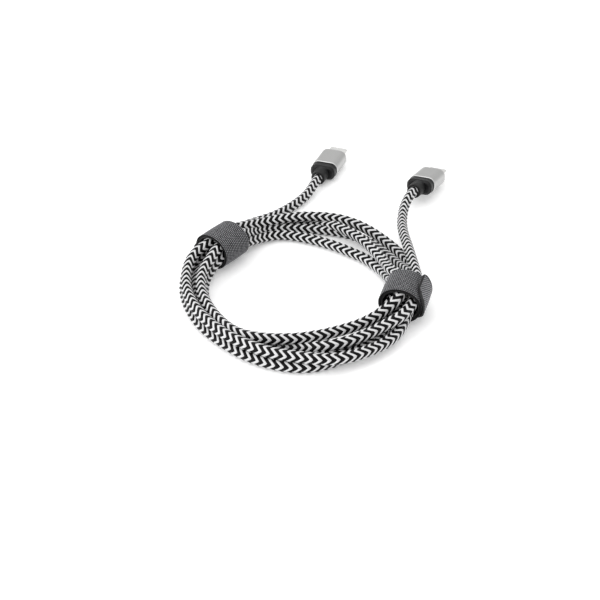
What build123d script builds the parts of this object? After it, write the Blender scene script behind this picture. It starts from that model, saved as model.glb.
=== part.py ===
from build123d import *
import math
import os

# A braided USB-C to USB-C cable, wound into a flat coil that two hook-and-loop ties hold.
# Both plugs lie beside the coil. All sizes are millimetres, +Z is up, and z = 0 is the surface.

# --- The frame: the coil's centre, seen from the middle of the whole cable's footprint ---
COIL_CENTRE = (-6.9, -30.0)

# --- The cord ---
CORD_DIAMETER = 4.0
CORD_TURNS = 4.55
CORD_CORE_DIAMETER = 3.0

# --- The coil's bundle at its stations: angle in degrees, inner radius, outer radius, top ---
FRONT_STATIONS = [
    (172, 35.6, 46.6, 9.0),
    (192, 35.0, 46.6, 8.2),
    (215, 34.6, 46.0, 7.8),
    (240, 32.4, 47.2, 7.6),
    (262, 28.8, 49.2, 7.6),
    (282, 26.4, 48.4, 7.6),
    (302, 26.8, 45.6, 8.0),
    (320, 28.8, 43.8, 9.6),
]
REAR_STATIONS = [
    (372, 28.4, 42.6, 10.4),
    (390, 28.6, 44.4, 8.4),
    (410, 28.9, 46.2, 7.8),
    (432, 30.4, 48.2, 7.8),
    (452, 33.8, 47.6, 8.0),
    (472, 36.6, 46.4, 8.8),
]
BUNDLE_CORNER = 3.2
WAIST_CUT = 6.0  # how far outside the strap the waist is cut back to the strap's inside
BELOW_FLOOR = 0.6  # how far the plain sections reach below z = 0 before the flat base is cut

# --- The two ties: where each sits on the coil, and how its strap goes round the bundle ---
TIES = {
    "left": {"angle": 143.2, "radius": 38.3, "hinge": 2, "tip": -54},
    "right": {"angle": 342.5, "radius": 35.7, "hinge": -24, "tip": 54},
}
STRAP_WIDTH = 13.2
STRAP_HALF_ACROSS = 7.7
STRAP_HALF_HEIGHT = 6.9
HOOK_LAYER = 0.6
LOOP_LAYER = 0.8
TAIL_THICKNESS = 0.9
TAIL_GAP = 0.25
TAIL_END_ROUNDING = 4.0
SEAM_DEPTH = 0.3
SEAM_ANGLES = (8, 20)  # where the seam lies beyond the tail's hinge line, in degrees
BUNDLE_IN_TIE = (5.6, 5.3)
MOUTH_ANGLE = math.degrees(math.atan2(STRAP_WIDTH / 2, 37.0))

# --- The plugs: centre of the housing's rear face, turn to the right of +Y, nose down, lean ---
PLUGS = {
    "plug_a": {"at": (8.8, 89.9, 3.48), "turn": 20.1, "nose_down": 0.0, "lean": 0.0},
    "plug_b": {"at": (48.4, 72.3, 5.55), "turn": 27.2, "nose_down": 7.5, "lean": 3.5},
}

# Along each plug's own Y axis, from the housing's rear face towards the tip.
HOUSING_LENGTH = 12.4
HOUSING_WIDTH = 11.4
HOUSING_HEIGHT = 6.9
HOUSING_CORNER = 3.1
HOUSING_WALL = 0.8
COLLAR_LENGTH = 4.0
COLLAR_INSET = 0.2
COLLAR_LIP = 0.9
NECK_LENGTH = 5.3
NECK_BASE_DIAMETER = 6.2
NECK_END_DIAMETER = 5.9
NECK_SOCKET = 2.0
SLIP = 0.15  # assembly clearance between nested plug pieces

# The plug's metal tip, to the USB Type-C plug's standard outline.
TIP_WIDTH = 8.25
TIP_HEIGHT = 2.4
TIP_CORNER = 1.15
TIP_WALL = 0.3
TIP_REACH = 6.65
TIP_START = 9.4
CONTACT_PITCH = 0.5
CONTACTS_PER_SIDE = 12
CONTACT_WIDTH = 0.22
CONTACT_THICKNESS = 0.12
CONTACT_LIFT = 0.28
CARRIER_HALF_WIDTH = 3.05
LATCH_INNER_X = 3.25
LATCH_THICKNESS = 0.25
BOARD_SIZE = (7.4, 8.0, 0.54)
BOARD_START = 3.6

NECK_END = -COLLAR_LENGTH - NECK_LENGTH
CORD_END = NECK_END + NECK_SOCKET
TIP_END = HOUSING_LENGTH + TIP_REACH

# --- The cord's two loose ends, from the plug to the coil: the first two points of each are
# on its plug's axis, and the rest lie where the cord rests on the surface or on the coil ---
LOOSE_A_REST = [
    (1.2, 69.6, 2.1),
    (-5.0, 60.0, 2.0),
    (-12.4, 52.0, 2.0),
    (-20.2, 46.3, 2.6),
    (-25.2, 39.6, 4.4),
    (-28.2, 33.4, 5.8),
]
LOOSE_B_REST = [
    (39.4, 53.4, 5.6),
    (37.8, 43.4, 4.7),
    (37.5, 33.4, 5.7),
    (38.1, 23.4, 6.8),
    (38.6, 14.2, 7.6),
]
LOOSE_LEAD = 6.0  # how far the cord runs straight on behind the neck's socket


def on_coil(shape):
    """Moves a shape from the coil's own centre to the frame of the whole cable."""
    return Pos(COIL_CENTRE[0], COIL_CENTRE[1], 0) * shape


def prism(outline, start, end):
    """A flat outline drawn across the plug, carried along the plug's Y axis."""
    across = Plane((0, start, 0), x_dir=(1, 0, 0), z_dir=(0, 1, 0))
    return extrude(across * outline, amount=end - start)


def rod(diameter, start, end, x=0.0, z=0.0):
    """A round bar along the plug's Y axis."""
    across = Plane((x, start, z), x_dir=(1, 0, 0), z_dir=(0, 1, 0))
    return extrude(across * Circle(diameter / 2), amount=end - start)


def slab(low, high):
    """A plain block between two opposite corners."""
    size = [b - a for a, b in zip(low, high)]
    middle = [(a + b) / 2 for a, b in zip(low, high)]
    return Pos(*middle) * Box(*size)


# --- Plug pieces, each in the plug's own frame ---

def housing_outline(inset):
    """The housing's rounded outline, moved inwards all round by inset."""
    return RectangleRounded(
        HOUSING_WIDTH - 2 * inset,
        HOUSING_HEIGHT - 2 * inset,
        HOUSING_CORNER - inset,
    )


def make_housing():
    """The aluminium sleeve: a polished chamfer at the back and a soft edge at the front."""
    sleeve = prism(housing_outline(0), 0, HOUSING_LENGTH)
    back = sleeve.faces().sort_by(Axis.Y)[0]
    sleeve = chamfer(back.edges(), 0.25)
    front = sleeve.faces().sort_by(Axis.Y)[-1]
    sleeve = fillet(front.edges(), 0.5)
    return sleeve - prism(housing_outline(HOUSING_WALL), -1, HOUSING_LENGTH + 1)


def make_collar():
    """The black collar behind the housing: a lip, a sloped back, and a spigot that fits inside."""
    body = prism(housing_outline(COLLAR_INSET + 0.1), -COLLAR_LENGTH, -COLLAR_LIP)
    back = body.faces().sort_by(Axis.Y)[0]
    body = chamfer(back.edges(), 0.9)
    lip = prism(housing_outline(COLLAR_INSET), -COLLAR_LIP, 0)
    spigot = prism(housing_outline(HOUSING_WALL + SLIP), 0, 2.2)
    return body + lip + spigot - rod(5.1, -COLLAR_LENGTH - 1, 3)


def make_neck():
    """The strain relief: a stub in the collar, a tapered sleeve, and the socket for the cord."""
    taper = Plane((0, -COLLAR_LENGTH, 0), x_dir=(1, 0, 0), z_dir=(0, -1, 0))
    end = taper.offset(NECK_LENGTH)
    sleeve = loft([taper * Circle(NECK_BASE_DIAMETER / 2), end * Circle(NECK_END_DIAMETER / 2)])
    sleeve = fillet(sleeve.edges().sort_by(Axis.Y)[0], 0.45)
    stub = rod(5.0, -COLLAR_LENGTH, -1.0)
    socket = rod(CORD_DIAMETER + 0.2, NECK_END - 1, CORD_END)
    core_hole = rod(CORD_CORE_DIAMETER + 0.1, NECK_END - 1, 0)
    return sleeve + stub - socket - core_hole


def make_cable_core():
    """The cord's inner jacket, bared of its braid, from the neck's socket to the wires."""
    return rod(CORD_CORE_DIAMETER, CORD_END, 1.6)


def make_crimp_ring():
    """The steel ring that grips the cord's core inside the collar."""
    return rod(4.7, -0.8, 1.2) - rod(CORD_CORE_DIAMETER + 0.04, -2, 2)


def make_wires():
    """Four insulated wires from the core to the board, two on each face."""
    lift = BOARD_SIZE[2] / 2 + 0.36
    places = [(x, z) for x in (-0.9, 0.9) for z in (-lift, lift)]
    return [rod(0.7, 1.6, 5.2, x, z) for x, z in places]


def make_inner_mould():
    """The inner plastic block that holds the board, with a pocket through it."""
    block = prism(housing_outline(HOUSING_WALL + SLIP), 2.35, 10.7)
    pocket = slab((-4.15, 1, -1.35), (4.15, 12, 1.35))
    return block - pocket


def make_circuit_board():
    """The paddle board that joins the wires to the contacts."""
    width, length, thickness = BOARD_SIZE
    low = (-width / 2, BOARD_START, -thickness / 2)
    high = (width / 2, BOARD_START + length, thickness / 2)
    return slab(low, high)


def make_marker_chip():
    """The marker chip on the board's upper face."""
    top = BOARD_SIZE[2] / 2
    return slab((-1.1, 6.2, top), (1.1, 8.4, top + 0.55))


def make_nose():
    """The black bezel that closes the housing's front around the metal tip."""
    bezel = prism(housing_outline(HOUSING_WALL + SLIP), 10.8, HOUSING_LENGTH - 0.15)
    slot = prism(RectangleRounded(TIP_WIDTH + 0.1, TIP_HEIGHT + 0.1, TIP_CORNER), 10, 13)
    return bezel - slot


def make_shell():
    """The steel tip: a seamless flat tube with a rounded leading edge."""
    outside = RectangleRounded(TIP_WIDTH, TIP_HEIGHT, TIP_CORNER)
    inside = RectangleRounded(
        TIP_WIDTH - 2 * TIP_WALL, TIP_HEIGHT - 2 * TIP_WALL, TIP_CORNER - TIP_WALL
    )
    tube = prism(outside, TIP_START, TIP_END)
    tube = fillet(tube.faces().sort_by(Axis.Y)[-1].edges(), 0.15)
    return tube - prism(inside, TIP_START - 1, TIP_END + 1)


def make_carrier(side):
    """One insulating comb inside the tip; side is 1 above the tongue gap and -1 below it."""
    near = side * (CONTACT_LIFT + CONTACT_THICKNESS + 0.02)
    far = side * (TIP_HEIGHT / 2 - TIP_WALL - 0.02)
    low_z, high_z = sorted((near, far))
    return slab((-CARRIER_HALF_WIDTH, 11.8, low_z), (CARRIER_HALF_WIDTH, 18.6, high_z))


def make_contacts(side):
    """One row of twelve sprung contacts, from the board's edge to near the tip's mouth."""
    first = -CONTACT_PITCH * (CONTACTS_PER_SIDE - 1) / 2
    middle_z = side * (CONTACT_LIFT + CONTACT_THICKNESS / 2)
    middle_y = (10.6 + 18.0) / 2
    finger = Box(CONTACT_WIDTH, 18.0 - 10.6, CONTACT_THICKNESS)
    columns = [first + CONTACT_PITCH * i for i in range(CONTACTS_PER_SIDE)]
    return [Pos(x, middle_y, middle_z) * finger for x in columns]


def make_mid_plate():
    """The ground plate between the two rows, just in front of the board."""
    return slab((-2.9, 11.7, -0.1), (2.9, 13.0, 0.1))


def make_latch(side):
    """One of the two side springs that hold the plug in its socket."""
    near, far = side * LATCH_INNER_X, side * (LATCH_INNER_X + LATCH_THICKNESS)
    arm = slab((min(near, far), 12.6, -0.3), (max(near, far), 18.0, 0.3))
    hook_far = side * (LATCH_INNER_X - 0.3)
    hook = slab((min(near, hook_far), 17.2, -0.3), (max(near, hook_far), 17.8, 0.3))
    return arm + hook - slab((-9, 17.0, 0.26), (9, 18.2, 1))


PLUG_PIECES = {
    "housing": make_housing,
    "collar": make_collar,
    "neck": make_neck,
    "cable_core": make_cable_core,
    "crimp_ring": make_crimp_ring,
    "wires": make_wires,
    "inner_mould": make_inner_mould,
    "circuit_board": make_circuit_board,
    "marker_chip": make_marker_chip,
    "nose": make_nose,
    "shell": make_shell,
    "upper_carrier": lambda: make_carrier(1),
    "lower_carrier": lambda: make_carrier(-1),
    "upper_contacts": lambda: make_contacts(1),
    "lower_contacts": lambda: make_contacts(-1),
    "mid_plate": make_mid_plate,
    "left_latch": lambda: make_latch(-1),
    "right_latch": lambda: make_latch(1),
}


def plug_location(plug):
    """Where a plug lies, as a location in the coil's frame."""
    turned = Pos(*plug["at"]) * Rot(Z=-plug["turn"])
    return turned * Rot(X=-plug["nose_down"]) * Rot(Y=-plug["lean"])


def joined(shapes):
    """One shape from a list, its solids kept separate."""
    return shapes[0] if len(shapes) == 1 else Compound(children=shapes)


# --- Ties, each in its own frame: X away from the coil's centre, Y along the bundle ---

def oval(grow):
    """The strap's outside oval, grown all round."""
    return Ellipse(STRAP_HALF_ACROSS + grow, STRAP_HALF_HEIGHT + grow)


def strap_layer(outer_grow, inner_grow, width=STRAP_WIDTH):
    """A closed band between two ovals, as wide as the strap."""
    start = Plane((0, width / 2, STRAP_HALF_HEIGHT), x_dir=(1, 0, 0), z_dir=(0, -1, 0))
    return extrude(start * (oval(outer_grow) - oval(inner_grow)), amount=width)


def oval_point(angle, grow, y=0.0):
    """A point on the grown oval at an angle from the outward direction."""
    a = math.radians(angle)
    across = (STRAP_HALF_ACROSS + grow) * math.cos(a)
    up = STRAP_HALF_HEIGHT + (STRAP_HALF_HEIGHT + grow) * math.sin(a)
    return (across, y, up)


def sector(low, high):
    """A wedge of space round the strap's middle, between two angles."""
    reach = 14
    fan = [low + (high - low) * i / 4 for i in range(5)]
    rim = [oval_point(a, reach, -STRAP_WIDTH) for a in fan]
    middle = (0, -STRAP_WIDTH, STRAP_HALF_HEIGHT)
    outline = make_face(Polyline(middle, *rim, close=True))
    return extrude(outline, amount=2 * STRAP_WIDTH, dir=(0, 1, 0))


def make_tail(tie):
    """The strap's free tail: it lies round the outside from its hinge line to a rounded end."""
    band = strap_layer(TAIL_GAP + TAIL_THICKNESS, TAIL_GAP)
    tail = band & sector(*sorted((tie["hinge"], tie["tip"])))
    tip = oval_point(tie["tip"], TAIL_GAP + TAIL_THICKNESS / 2)
    across_edges = tail.edges().filter_by(lambda e: abs(e.length - TAIL_THICKNESS) < 0.15)
    tip_edges = across_edges.sort_by_distance(tip)[:2]
    return fillet(tip_edges, TAIL_END_ROUNDING)


def make_seam(tie):
    """The welded line just behind the tail's root, where the strap's two layers are joined."""
    band = strap_layer(SEAM_DEPTH, 0, STRAP_WIDTH - 2)
    away = 1 if tie["hinge"] > tie["tip"] else -1
    edges = [tie["hinge"] + away * beyond for beyond in SEAM_ANGLES]
    return band & sector(*sorted(edges))


def tie_location(tie):
    """Where a tie sits on the coil."""
    a = math.radians(tie["angle"])
    at = (tie["radius"] * math.cos(a), tie["radius"] * math.sin(a), 0)
    return Pos(*at) * Rot(Z=tie["angle"])


# --- The coil and the two loose ends ---

def bundle_section(angle, inner, outer, low, high, corner):
    """The bundle's outline on the upright plane that holds the coil's axis at this angle."""
    a = math.radians(angle)
    middle = (inner + outer) / 2
    centre = (middle * math.cos(a), middle * math.sin(a), (low + high) / 2)
    plane = Plane(centre, x_dir=(math.cos(a), math.sin(a), 0),
                  z_dir=(-math.sin(a), math.cos(a), 0))
    return plane * RectangleRounded(outer - inner, high - low, corner)


def tie_sections(tie, lap):
    """Three sections through a tie: at its two mouths and its middle, lap turns further on."""
    across, up = BUNDLE_IN_TIE
    sections = []
    for step in (-1, 0, 1):
        angle = tie["angle"] + 360 * lap + step * MOUTH_ANGLE
        radius = tie["radius"] / math.cos(math.radians(step * MOUTH_ANGLE))
        sections.append(bundle_section(
            angle, radius - across, radius + across,
            STRAP_HALF_HEIGHT - up, STRAP_HALF_HEIGHT + up, up - 0.4))
    return sections


def lying_sections(stations):
    """Sections where the bundle lies on the surface."""
    return [bundle_section(a, inner, outer, -BELOW_FLOOR, top, BUNDLE_CORNER)
            for a, inner, outer, top in stations]


def make_coil():
    """The outer shape of the wound cord, drawn in where the ties grip it, flat underneath."""
    left, right = TIES["left"], TIES["right"]
    front = tie_sections(left, 0)[1:] + lying_sections(FRONT_STATIONS) + tie_sections(right, 0)[:2]
    rear = tie_sections(right, 0)[1:] + lying_sections(REAR_STATIONS) + tie_sections(left, 1)[:2]
    ring = (loft(front) + loft(rear)) & slab((-90, -90, 0), (90, 90, 40))
    for tie in TIES.values():
        grip = strap_layer(WAIST_CUT, -LOOP_LAYER - HOOK_LAYER, STRAP_WIDTH + 0.4)
        ring -= tie_location(tie) * grip
    return ring


def loose_route(plug, rest):
    """The points of a loose end, from inside the plug's neck to the coil."""
    at = plug_location(plug)
    lead = [(at * Pos(0, y, 0)).position for y in (CORD_END, CORD_END - LOOSE_LEAD)]
    return lead + [Vector(*p) for p in rest]


def arc_radii(points):
    """For each corner: 0.45 of the shorter run, divided by the tangent of half the turn."""
    radii = []
    for before, corner, after in zip(points, points[1:], points[2:]):
        run_in, run_out = corner - before, after - corner
        half_turn = math.radians(run_in.get_angle(run_out)) / 2
        radii.append(0.45 * min(run_in.length, run_out.length) / math.tan(half_turn))
    return radii


def make_loose_end(name, plug, rest):
    """A loose end's tube: straight runs joined by tangent arcs. Returns it and its length."""
    points = loose_route(plug, rest)
    radii = arc_radii(points)
    path = FilletPolyline(*points, radius=radii)
    start = Plane(path @ 0, z_dir=path % 0)
    tube = sweep(start * Circle(CORD_DIAMETER / 2), path=path)
    expected = path.length * math.pi * CORD_DIAMETER ** 2 / 4
    runs = [(b - a).length for a, b in zip(points, points[1:])]
    print(name, "runs", [round(r, 1) for r in runs], "arc radii", [round(r, 1) for r in radii])
    print(name, "length", round(path.length, 1), "volume ratio", round(tube.volume / expected, 4))
    return tube, path.length


def make_all():
    """Every sub-part by node name, in the frame of the whole cable."""
    nodes = {}
    for plug_name, plug in PLUGS.items():
        at = plug_location(plug)
        for piece_name, maker in PLUG_PIECES.items():
            made = maker()
            solids = made if isinstance(made, list) else [made]
            placed = [on_coil(at * solid) for solid in solids]
            nodes[f"{plug_name}_{piece_name}"] = joined(placed)
    for side, tie in TIES.items():
        at = tie_location(tie)
        pieces = {
            "loop_layer": strap_layer(0, -LOOP_LAYER),
            "hook_layer": strap_layer(-LOOP_LAYER, -LOOP_LAYER - HOOK_LAYER, STRAP_WIDTH - 0.6),
            "tail": make_tail(tie),
            "seam": make_seam(tie),
        }
        for piece_name, shape in pieces.items():
            nodes[f"{side}_tie_{piece_name}"] = on_coil(at * shape)
    nodes["cord_coil"] = on_coil(make_coil())
    loose_length = 0
    for letter, rest in (("a", LOOSE_A_REST), ("b", LOOSE_B_REST)):
        tube, length = make_loose_end(f"loose_end_{letter}", PLUGS[f"plug_{letter}"], rest)
        nodes[f"loose_end_{letter}"] = on_coil(tube)
        loose_length += length
    mean_radius = sum((i + o) / 2 for _, i, o, _ in FRONT_STATIONS + REAR_STATIONS) / (
        len(FRONT_STATIONS) + len(REAR_STATIONS))
    coiled = CORD_TURNS * 2 * math.pi * mean_radius
    print("cord length: coiled", round(coiled), "loose", round(loose_length),
          "in all", round(coiled + loose_length))
    return nodes


os.makedirs("parts", exist_ok=True)
all_nodes = make_all()
for node, shape in all_nodes.items():
    export_step(shape, f"parts/{node}.step")

whole = Compound(children=list(all_nodes.values())).bounding_box()
print("nodes", len(all_nodes))
print("box low", [round(v, 2) for v in whole.min], "high", [round(v, 2) for v in whole.max])
for side, tie in TIES.items():
    hinge = on_coil(tie_location(tie) * Pos(*oval_point(tie["hinge"], TAIL_GAP)))
    print(side, "tail hinge at", [round(v, 2) for v in hinge.position])
for name, plug in PLUGS.items():
    place = plug_location(plug)
    half_gap = LATCH_INNER_X + LATCH_THICKNESS / 2
    tip_end = on_coil(place * Pos(0, TIP_END, 0))
    roots = [on_coil(place * Pos(side * half_gap, 12.6, 0)).position for side in (1, -1)]
    print(name, "tip end", [round(v, 2) for v in tip_end.position])
    print(name, "latch roots", [[round(v, 2) for v in root] for root in roots])
    print(name, "along", [round(v, 4) for v in Plane(tip_end).y_dir])
    print(name, "up", [round(v, 4) for v in Plane(tip_end).z_dir])
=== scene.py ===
# %% [markdown]
# # A braided charging cable, wound up and held by two hook-and-loop ties
#
# The cable is about a metre and a quarter of cord in a black and white braided sleeve, with an
# aluminium-cased plug at each end. It lies as it came out of its box: wound into a flat coil of
# four and a half turns, gripped by two fabric ties, with both plugs pointing away at the back.
#
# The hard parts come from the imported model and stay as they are. The soft parts, which are the
# cord and the ties, are made here as new surfaces.

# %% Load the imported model
import math

import bpy
import numpy as np
from mathutils import Matrix


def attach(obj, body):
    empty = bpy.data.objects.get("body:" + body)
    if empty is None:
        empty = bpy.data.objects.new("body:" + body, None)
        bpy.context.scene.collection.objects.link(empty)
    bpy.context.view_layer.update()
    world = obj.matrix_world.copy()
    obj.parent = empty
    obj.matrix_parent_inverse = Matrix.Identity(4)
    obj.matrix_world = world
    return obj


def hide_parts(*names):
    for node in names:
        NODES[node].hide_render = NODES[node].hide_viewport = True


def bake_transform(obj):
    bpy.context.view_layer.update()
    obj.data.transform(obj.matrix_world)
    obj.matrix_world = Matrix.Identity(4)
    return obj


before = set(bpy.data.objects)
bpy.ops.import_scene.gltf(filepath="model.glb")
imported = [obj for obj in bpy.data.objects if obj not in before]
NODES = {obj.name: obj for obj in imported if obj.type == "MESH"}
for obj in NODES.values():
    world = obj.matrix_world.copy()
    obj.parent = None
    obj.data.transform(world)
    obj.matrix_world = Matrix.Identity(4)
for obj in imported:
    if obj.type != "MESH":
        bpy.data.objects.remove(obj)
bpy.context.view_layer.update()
MM = 0.001

# %% [markdown]
# ## The camera
#
# A product view from above the near side. A long lens keeps the coil from looking stretched,
# and the camera only tips down: it isn't turned or rolled, so the coil's far side stays level.

# %% Place the camera
COIL_CENTRE = np.array([-6.9, -30.0, 0.0]) * MM
CAMERA_FROM_COIL = np.array([-1.87, -304.9, 209.6]) * MM
CAMERA_DOWN = 34.8  # degrees below level
LENS, SENSOR = 61.98, 36.0  # millimetres

camera_data = bpy.data.cameras.new("camera")
camera_data.lens = LENS
camera_data.sensor_width = SENSOR
camera_data.clip_start = 0.01
camera_data.clip_end = 20.0
camera = bpy.data.objects.new("camera", camera_data)
camera.location = COIL_CENTRE + CAMERA_FROM_COIL
camera.rotation_euler = (math.radians(90 - CAMERA_DOWN), 0, 0)
bpy.context.scene.collection.objects.link(camera)
bpy.context.scene.camera = camera
print("camera at", [round(v, 4) for v in camera.location])

# %% [markdown]
# ## Helpers for colour, nodes and surfaces
#
# Colours are written as the hex values a paint program shows. Blender mixes light in linear
# values, so one function turns hex to linear. One more function adds a shader node with its
# settings and its links in a single call, which keeps long node trees short enough to read.
#
# The last helper turns a grid of points into a mesh. Every piece made here is such a grid: its
# points are worked out as one array from two numbers, one along the piece and one round it.

# %% Colour and node helpers
def linear(hex_colour):
    """A linear RGBA colour from sRGB hex: each channel is cut to a straight line near black
    and raised to the power 2.4 above it."""
    parts = [int(hex_colour[i:i + 2], 16) / 255 for i in (1, 3, 5)]
    return [p / 12.92 if p <= 0.04045 else ((p + 0.055) / 1.055) ** 2.4 for p in parts] + [1.0]


def put(tree, kind, sockets=None, **settings):
    """Adds a node. Settings are its own properties; sockets gives its inputs by name or number,
    each a plain value, or another node's output to link from. Returns the node."""
    made = tree.nodes.new("ShaderNode" + kind)
    for name, value in settings.items():
        setattr(made, name, value)
    for name, value in (sockets or {}).items():
        if isinstance(value, bpy.types.NodeSocket):
            tree.links.new(value, made.inputs[name])
        else:
            made.inputs[name].default_value = value
    return made


def new_finish(name, build, **values):
    """A material. build(tree) makes the pattern nodes and returns the shader's linked sockets;
    values gives the shader's plain ones, with a low line for each space in a socket's name."""
    finish = bpy.data.materials.new(name)
    finish.use_nodes = True
    tree = finish.node_tree
    tree.nodes.clear()
    linked = build(tree)
    sockets = {k.replace("_", " "): v for k, v in values.items()}
    shader = put(tree, "BsdfPrincipled", {**sockets, **linked})
    put(tree, "OutputMaterial", {"Surface": shader.outputs[0]})
    return finish


# %% Surface helper
def surface(name, points, uv=None, wrap_rows=False, caps=False, finishes=(), inner=None):
    """A mesh from a grid of points, rows by columns, whose columns always close up. Corner
    (i, j) joins (i, j+1), (i+1, j+1) and (i+1, j). With wrap_rows the last row joins the first;
    with caps each end row is closed by a fan to its middle. uv gives a pair for each grid
    corner, with one more row and column than faces need. inner marks faces for finish 2."""
    rows, columns = points.shape[:2]
    spans = rows if wrap_rows else rows - 1
    i, j = np.meshgrid(np.arange(spans), np.arange(columns), indexing="ij")
    following, beside = (i + 1) % rows, (j + 1) % columns
    quads = np.stack([i * columns + j, i * columns + beside,
                      following * columns + beside, following * columns + j], -1).reshape(-1, 4)
    vertices = points.reshape(-1, 3)
    loops, counts = quads.ravel(), np.full(len(quads), 4)
    if caps:
        first, last = np.arange(columns), (rows - 1) * columns + np.arange(columns)
        n = len(vertices)
        vertices = np.vstack([vertices, points[0].mean(0), points[-1].mean(0)])
        start = np.stack([np.roll(first, -1), first, np.full(columns, n)], -1)
        end = np.stack([last, np.roll(last, -1), np.full(columns, n + 1)], -1)
        loops = np.concatenate([loops, start.ravel(), end.ravel()])
        counts = np.concatenate([counts, np.full(2 * columns, 3)])
    mesh = bpy.data.meshes.new(name)
    mesh.vertices.add(len(vertices))
    mesh.vertices.foreach_set("co", vertices.astype(np.float32).ravel())
    mesh.loops.add(len(loops))
    mesh.loops.foreach_set("vertex_index", loops.astype(np.int32))
    mesh.polygons.add(len(counts))
    starts = np.concatenate([[0], np.cumsum(counts)[:-1]])
    mesh.polygons.foreach_set("loop_start", starts.astype(np.int32))
    mesh.polygons.foreach_set("use_smooth", np.ones(len(counts), bool))
    if inner is not None:
        index = np.zeros(len(counts), np.int32)
        index[:len(quads)] = np.broadcast_to(inner, (spans, columns)).ravel()
        mesh.polygons.foreach_set("material_index", index)
    mesh.update(calc_edges=True)
    mesh.validate()
    if uv is not None:
        corner = np.stack([uv[i, j], uv[i, j + 1], uv[i + 1, j + 1], uv[i + 1, j]], 2)
        spread = np.zeros((len(loops), 2), np.float32)
        spread[:len(quads) * 4] = corner.reshape(-1, 2)
        mesh.uv_layers.new(name="pattern").uv.foreach_set("vector", spread.ravel())
    for finish in finishes:
        mesh.materials.append(finish)
    piece = bpy.data.objects.new(name, mesh)
    bpy.context.scene.collection.objects.link(piece)
    print(name, "faces", len(counts))
    return piece


# %% [markdown]
# ## Where the cord lies
#
# A cord is a fixed length of something springy, so its line is drawn before its thickness: one
# smooth spline led by listed points. Each point of the coil is an angle round the coil's
# centre, a distance from it and a height, because that is how a coil is wound by hand. Angles
# grow anticlockwise from above, and a strand that lies on the surface has its middle 2 mm up.
#
# Inside a tie the five strands sit in a ring of five slots, like fingers through a ring. Between
# the ties they spread: three lie on the surface in front and two ride on top of them.

# %% The strands between the ties
# Each point is its angle in degrees, its distance from the coil's centre and its height in mm.
FRONT = {
    "low_outer": [
        (166, 44.4, 3.4), (180, 43.4, 2), (195, 42.0, 2), (212, 41.6, 2), (228, 41.4, 2),
        (243, 42.8, 2), (258, 44.2, 2), (270, 44.4, 2), (280, 42.9, 2), (292, 40.4, 2),
        (305, 38.2, 2), (318, 36.4, 2.2)],
    "top_outer": [
        (162, 43.2, 8.4), (174, 43.0, 6.4), (190, 42.2, 5.7), (208, 41.1, 5.6),
        (226, 41.1, 5.6), (240, 41.6, 5.6), (254, 42.8, 5.6), (267, 43.5, 5.6),
        (277, 44.8, 5.3), (286, 44.8, 4.8), (296, 43.6, 4.2), (307, 42.6, 3.5),
        (318, 41.6, 3.3)],
    "top_inner": [
        (162, 35.9, 8.4), (174, 37.5, 6.5), (190, 37.2, 5.8), (206, 36.9, 5.6),
        (222, 37.6, 5.4), (235, 38.2, 5.4), (248, 36.0, 5.3), (258, 34.3, 5.3),
        (268, 32.9, 5.2), (281, 31.4, 5.1), (295, 30.9, 5.2), (306, 31.7, 5.7),
        (316, 32.7, 6.6), (325, 34.4, 8.4)],
    "low_middle": [
        (164, 40.3, 3.0), (178, 39.9, 2), (195, 39.0, 2), (212, 38.6, 2), (228, 38.4, 2),
        (243, 38.8, 2), (258, 39.4, 2), (270, 39.6, 2), (280, 39.2, 2), (290, 37.8, 2),
        (300, 35.8, 2), (311, 33.6, 2.2), (322, 32.4, 4.2)],
    "low_inner": [
        (162, 36.2, 3.8), (174, 36.8, 2.2), (190, 36.4, 2), (212, 35.7, 2), (230, 35.1, 2),
        (245, 34.6, 2), (258, 34.2, 2), (268, 34.4, 2.4), (276, 36.4, 4.0),
        (284, 38.0, 5.4), (293, 38.2, 6.0), (303, 38.1, 6.3), (313, 38.6, 7.1),
        (323, 40.3, 7.8)],
}
REAR = {
    "outermost": [
        (360, 37.6, 2.3), (370, 40.8, 2), (382, 42.3, 2.1), (396, 43.1, 2.6),
        (408, 43.9, 3.7), (420, 45.4, 4.8), (431, 46.0, 5.7), (441, 45.6, 6.0),
        (452, 45.2, 6.1), (464, 43.9, 6.3), (474, 42.2, 7.0), (483, 40.9, 8.4)],
    "second": [
        (359, 39.2, 5.8), (367, 38.2, 5.9), (376, 37.7, 4.2), (385, 38.0, 2.3),
        (398, 38.8, 2), (408, 39.9, 2), (416, 41.2, 2), (424, 42.3, 2), (434, 42.4, 2),
        (444, 42.4, 2), (454, 42.9, 2.2), (464, 43.0, 2.9), (473, 42.0, 3.9),
        (482, 39.2, 6.0)],
    "crossing": [
        (360, 33.4, 8.8), (370, 30.8, 7.2), (383, 31.6, 5.8), (396, 32.8, 5.6),
        (408, 34.8, 5.6), (417, 37.0, 5.5), (425, 39.2, 5.1), (433, 42.2, 4.6),
        (442, 45.6, 2.6), (453, 47.0, 2), (466, 46.8, 2), (478, 44.2, 2.2)],
    "innermost": [
        (361, 31.9, 4.8), (372, 30.9, 2.8), (385, 31.1, 2), (404, 30.9, 2), (415, 30.7, 2),
        (426, 31.7, 2), (438, 33.4, 2), (450, 35.9, 2), (459, 38.4, 2), (467, 39.6, 2),
        (475, 39.0, 2.4), (483, 36.8, 3.8)],
}
print("strands in front", len(FRONT), "behind", len(REAR))

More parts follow.
